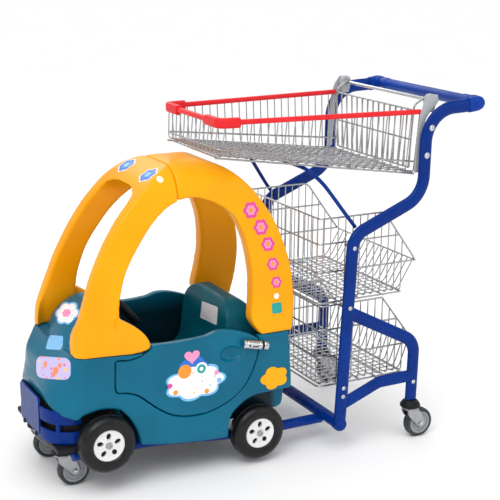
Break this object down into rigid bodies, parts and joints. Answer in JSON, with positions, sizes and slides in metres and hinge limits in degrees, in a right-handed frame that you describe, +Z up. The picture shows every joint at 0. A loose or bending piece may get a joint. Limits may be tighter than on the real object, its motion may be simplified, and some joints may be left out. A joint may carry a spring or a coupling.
{
  "type": "shopping trolley",
  "caption": "Children's shopping trolley: a moulded ride-in toy car with opening doors on a tubular frame with wire baskets, a rear gate and swivel casters.",
  "frame": {"origin": "on the floor, under the middle of the trolley's bounding box", "axes": "+X towards the push handle and -X towards the car's nose, +Y to the right-hand side as seen from the handle end looking forwards, +Z up"},
  "size_m": [1.3038, 0.568, 1.024],
  "materials": {
    "frame_blue": "glossy powder coat",
    "grip_blue": "fine moulded texture",
    "chrome_wire": "bright plated wire",
    "grey_plastic": "satin moulded",
    "rim_red": "satin extruded",
    "car_teal": "rotomoulded, slight orange peel",
    "roof_yellow": "rotomoulded, slight orange peel",
    "black_plastic": "satin moulded",
    "toy_tyre": "blow moulded",
    "caster_tread": "grey elastomer",
    "fork_steel": "zinc plated pressing"
  },
  "bodies": {
    "trolley": {"side_tube_left": "frame_blue", "side_tube_right": "frame_blue", "rear_leg_left": "frame_blue", "rear_leg_right": "frame_blue", "lower_brace_left": "frame_blue", "lower_brace_right": "frame_blue", "foot_tube": "frame_blue", "chassis_rail_left": "frame_blue", "chassis_rail_right": "frame_blue", "support_rod": "frame_blue", "bumper": "frame_blue", "handle_grip": "grip_blue", "handle_elbow_left": "grip_blue", "handle_elbow_right": "grip_blue", "handle_bar": "chrome_wire", "basket_upper": "chrome_wire", "gate_rod": "chrome_wire", "basket_middle": "chrome_wire", "basket_lower": "chrome_wire", "bolt_keeper_left": "chrome_wire", "bolt_keeper_right": "chrome_wire", "basket_plate_left": "grey_plastic", "basket_plate_right": "grey_plastic", "gate_clip_left": "grey_plastic", "gate_clip_right": "grey_plastic", "rim_left": "rim_red", "rim_right": "rim_red", "rim_front": "rim_red", "car_body": "car_teal", "seat": "car_teal", "roof_front": "roof_yellow", "roof_rear": "roof_yellow", "caster_beam": "black_plastic", "car_pan": "black_plastic", "toy_axle_front": "black_plastic", "toy_axle_rear": "black_plastic", "caster_cup_front_left": "black_plastic", "caster_cup_front_right": "black_plastic", "caster_cup_rear_left": "black_plastic", "caster_cup_rear_right": "black_plastic"},
    "fork_front_left": {"caster_fork_front_left": "fork_steel"},
    "wheel_front_left": {"caster_wheel_front_left": "caster_tread"},
    "fork_front_right": {"caster_fork_front_right": "fork_steel"},
    "wheel_front_right": {"caster_wheel_front_right": "caster_tread"},
    "fork_rear_left": {"caster_fork_rear_left": "fork_steel"},
    "wheel_rear_left": {"caster_wheel_rear_left": "caster_tread"},
    "fork_rear_right": {"caster_fork_rear_right": "fork_steel"},
    "wheel_rear_right": {"caster_wheel_rear_right": "caster_tread"},
    "toy_front_left": {"toy_wheel_front_left": "toy_tyre"},
    "toy_front_right": {"toy_wheel_front_right": "toy_tyre"},
    "toy_rear_left": {"toy_wheel_rear_left": "toy_tyre"},
    "toy_rear_right": {"toy_wheel_rear_right": "toy_tyre"},
    "door_left": {"door_left": "car_teal", "bolt_barrel_left": "chrome_wire"},
    "bolt_left": {"bolt_rod_left": "chrome_wire"},
    "door_right": {"door_right": "car_teal", "bolt_barrel_right": "chrome_wire"},
    "bolt_right": {"bolt_rod_right": "chrome_wire"},
    "gate": {"gate": "chrome_wire"},
    "steering": {"steering_wheel": "roof_yellow"}
  },
  "joints": [
    {"name": "caster_swivel_front_left", "type": "hinge", "parent": "trolley", "child": "fork_front_left", "pos_m": [-0.588, -0.102, 0.09], "axis": [0, 0, 1], "continuous": true},
    {"name": "caster_roll_front_left", "type": "hinge", "parent": "fork_front_left", "child": "wheel_front_left", "pos_m": [-0.558, -0.102, 0.04462], "axis": [0, 1, 0], "continuous": true},
    {"name": "caster_swivel_front_right", "type": "hinge", "parent": "trolley", "child": "fork_front_right", "pos_m": [-0.588, 0.102, 0.09], "axis": [0, 0, 1], "continuous": true},
    {"name": "caster_roll_front_right", "type": "hinge", "parent": "fork_front_right", "child": "wheel_front_right", "pos_m": [-0.558, 0.102, 0.04462], "axis": [0, 1, 0], "continuous": true},
    {"name": "caster_swivel_rear_left", "type": "hinge", "parent": "trolley", "child": "fork_rear_left", "pos_m": [0.452, -0.254, 0.09], "axis": [0, 0, 1], "continuous": true},
    {"name": "caster_roll_rear_left", "type": "hinge", "parent": "fork_rear_left", "child": "wheel_rear_left", "pos_m": [0.482, -0.254, 0.04462], "axis": [0, 1, 0], "continuous": true},
    {"name": "caster_swivel_rear_right", "type": "hinge", "parent": "trolley", "child": "fork_rear_right", "pos_m": [0.452, 0.254, 0.09], "axis": [0, 0, 1], "continuous": true},
    {"name": "caster_roll_rear_right", "type": "hinge", "parent": "fork_rear_right", "child": "wheel_rear_right", "pos_m": [0.482, 0.254, 0.04462], "axis": [0, 1, 0], "continuous": true},
    {"name": "toy_wheel_spin_front_left", "type": "hinge", "parent": "trolley", "child": "toy_front_left", "pos_m": [-0.497, -0.2, 0.147], "axis": [0, 1, 0], "continuous": true},
    {"name": "toy_wheel_spin_front_right", "type": "hinge", "parent": "trolley", "child": "toy_front_right", "pos_m": [-0.497, 0.2, 0.147], "axis": [0, 1, 0], "continuous": true},
    {"name": "toy_wheel_spin_rear_left", "type": "hinge", "parent": "trolley", "child": "toy_rear_left", "pos_m": [-0.04, -0.2, 0.094], "axis": [0, 1, 0], "continuous": true},
    {"name": "toy_wheel_spin_rear_right", "type": "hinge", "parent": "trolley", "child": "toy_rear_right", "pos_m": [-0.04, 0.2, 0.094], "axis": [0, 1, 0], "continuous": true},
    {"name": "door_swing_left", "type": "hinge", "parent": "trolley", "child": "door_left", "pos_m": [-0.474, -0.215, 0.3], "axis": [0, 0, -1], "range_deg": [0, 80]},
    {"name": "bolt_slide_left", "type": "slide", "parent": "door_left", "child": "bolt_left", "axis": [0.978, 0, -0.2085], "range_m": [0, 0.013]},
    {"name": "door_swing_right", "type": "hinge", "parent": "trolley", "child": "door_right", "pos_m": [-0.474, 0.215, 0.3], "axis": [0, 0, 1], "range_deg": [0, 80]},
    {"name": "bolt_slide_right", "type": "slide", "parent": "door_right", "child": "bolt_right", "axis": [0.978, 0, -0.2085], "range_m": [0, 0.013]},
    {"name": "gate_swing", "type": "hinge", "parent": "trolley", "child": "gate", "pos_m": [0.49, 0, 1.006], "axis": [0, 1, 0], "range_deg": [0, 65]},
    {"name": "steering_turn", "type": "hinge", "parent": "trolley", "child": "steering", "pos_m": [-0.368, 0, 0.456], "axis": [0.7513, 0, 0.66], "continuous": true}
  ]
}
